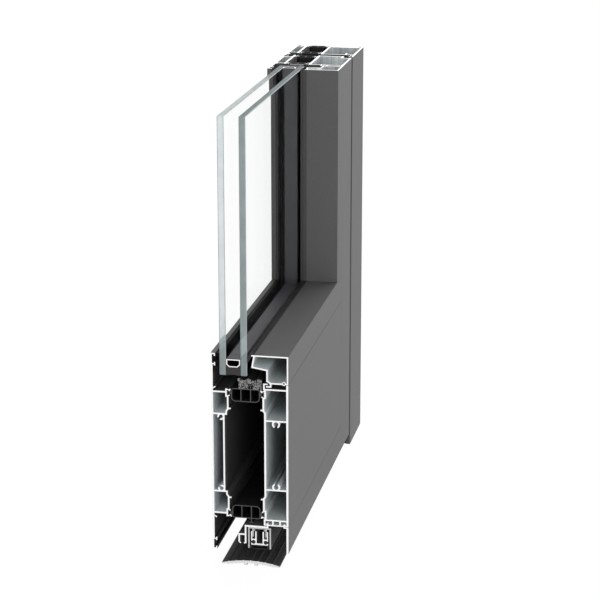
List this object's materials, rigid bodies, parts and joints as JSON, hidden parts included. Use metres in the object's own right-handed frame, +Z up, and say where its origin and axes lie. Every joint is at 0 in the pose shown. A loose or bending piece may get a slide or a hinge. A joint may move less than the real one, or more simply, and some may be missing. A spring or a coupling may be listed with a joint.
{
  "type": "entrance door",
  "caption": "Cutaway corner sample of an insulated aluminium entrance door: glazed leaf, hinge jamb, drop-down seal and low threshold",
  "frame": {"origin": "centre of the footprint, on the floor", "axes": "+X towards the room (inside face), +Y along the door's width towards the jamb and the building, +Z up"},
  "size_m": [0.075, 0.428, 0.4415],
  "materials": {
    "coated_aluminium": "matt grey coat on the faces, bright on the cuts",
    "mill_aluminium": "satin, uncoated",
    "spacer_metal": "satin grey",
    "dark_sill": "dark satin",
    "insulating_plastic": "matt black",
    "foam": "speckled grey foam",
    "seal_rubber": "matt black",
    "edge_seal": "dark grey",
    "clear_glass": "clear, laminated"
  },
  "bodies": {
    "frame": {"jamb_outer_shell": "coated_aluminium", "jamb_inner_shell": "coated_aluminium", "jamb_leaf_side_bar": "insulating_plastic", "jamb_wall_side_bar": "insulating_plastic", "jamb_outer_gasket": "seal_rubber", "jamb_inner_gasket": "seal_rubber", "threshold_plate": "dark_sill"},
    "leaf": {"stile_outer_shell": "coated_aluminium", "stile_inner_shell": "coated_aluminium", "stile_glass_side_bar": "insulating_plastic", "stile_jamb_side_bar": "insulating_plastic", "rail_outer_shell": "coated_aluminium", "rail_inner_shell": "coated_aluminium", "rail_upper_bar": "insulating_plastic", "rail_lower_bar": "insulating_plastic", "rail_glazing_bead": "coated_aluminium", "stile_glazing_bead": "coated_aluminium", "rail_foam_strip": "foam", "stile_foam_strip": "foam", "outer_pane": "clear_glass", "inner_pane": "clear_glass", "rail_spacer": "spacer_metal", "stile_spacer": "spacer_metal", "rail_edge_sealant": "edge_seal", "stile_edge_sealant": "edge_seal", "rail_outer_gasket": "seal_rubber", "stile_outer_gasket": "seal_rubber", "rail_inner_gasket": "seal_rubber", "stile_inner_gasket": "seal_rubber", "seal_carrier": "coated_aluminium", "seal_housing": "mill_aluminium"},
    "drop": {"drop_bar": "mill_aluminium", "drop_bar_rubber": "seal_rubber"}
  },
  "joints": [
    {"name": "leaf_swing", "type": "hinge", "parent": "frame", "child": "leaf", "pos_m": [0.0455, 0.138, 0.22], "axis": [0, 0, 1], "range_deg": [0, 90]},
    {"name": "drop_seal", "type": "slide", "parent": "leaf", "child": "drop", "axis": [0, 0, -1], "range_m": [0, 0.012]}
  ]
}
